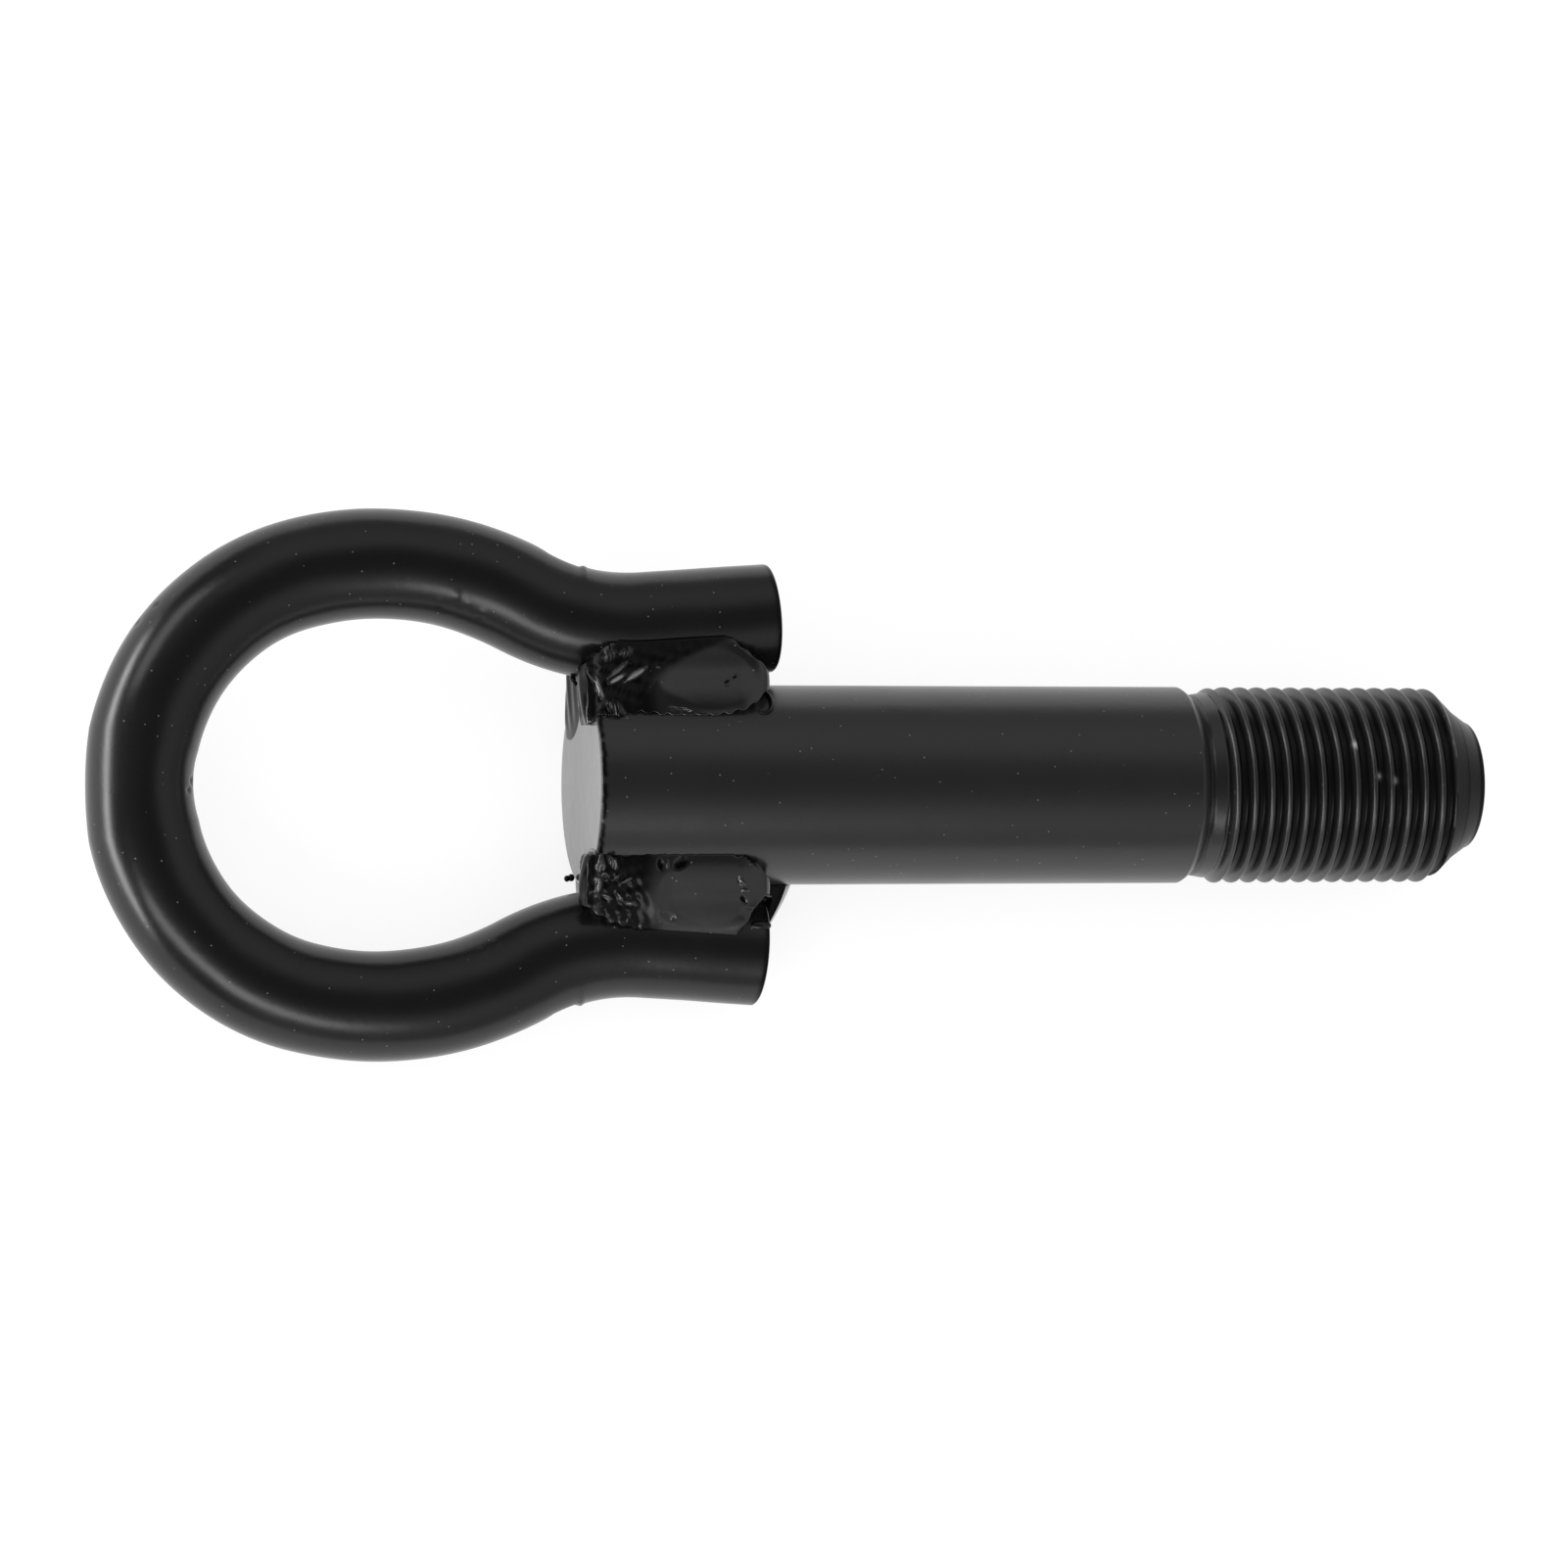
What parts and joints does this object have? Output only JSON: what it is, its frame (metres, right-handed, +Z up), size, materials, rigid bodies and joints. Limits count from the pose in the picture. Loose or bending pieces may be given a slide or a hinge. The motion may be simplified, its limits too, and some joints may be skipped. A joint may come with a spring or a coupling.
{
  "type": "recovery tow hook",
  "caption": "Screw-in recovery tow hook: a round-bar towing eye welded to a straight turned shank with a right-hand thread and a blunt nose, painted black.",
  "frame": {"origin": "on the ground, under the middle of the hook's box, as it lies at rest", "axes": "+X along the shank from the eye to the threaded nose, +Z up; the eye's plane is rolled 12 degrees about X, its +Y side up, so that shank and eye both touch the ground"},
  "size_m": [0.1568, 0.059, 0.0219],
  "materials": {
    "bar_paint": "semi-gloss black paint on hot-rolled bar",
    "shank_paint": "semi-gloss black paint on turned steel",
    "weld_paint": "gloss black paint over weld beads"
  },
  "bodies": {
    "root": {"eye_bar": "bar_paint", "threaded_shank": "shank_paint", "weld_left_upper": "weld_paint", "weld_left_under": "weld_paint", "weld_right_upper": "weld_paint", "weld_right_under": "weld_paint"}
  },
  "joints": []
}
